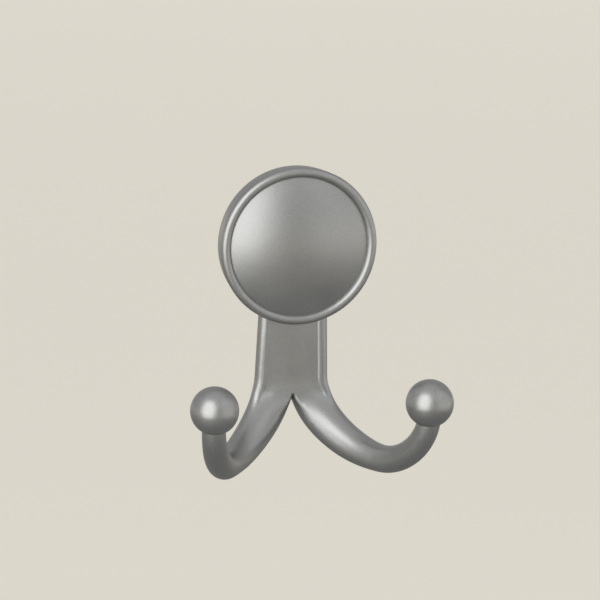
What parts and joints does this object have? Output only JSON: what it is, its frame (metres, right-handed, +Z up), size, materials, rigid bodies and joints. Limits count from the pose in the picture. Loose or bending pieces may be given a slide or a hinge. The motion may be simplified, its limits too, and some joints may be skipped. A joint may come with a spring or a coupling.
{
  "type": "wall hook",
  "caption": "Cast double wall hook: round domed base with a beaded rim, flat neck, and curved prongs with ball ends for coats or robes, held from behind by a hidden stud.",
  "frame": {"origin": "centre of the round base on the wall plane, at the mouth of the tapped hole", "axes": "+X to the viewer's right, +Y into the wall, +Z up; the prongs reach forward along -Y"},
  "size_m": [0.0778, 0.0468, 0.0893],
  "materials": {
    "satin_nickel": "satin nickel plate on a zinc casting"
  },
  "bodies": {
    "root": {"hook_body": "satin_nickel"}
  },
  "joints": []
}
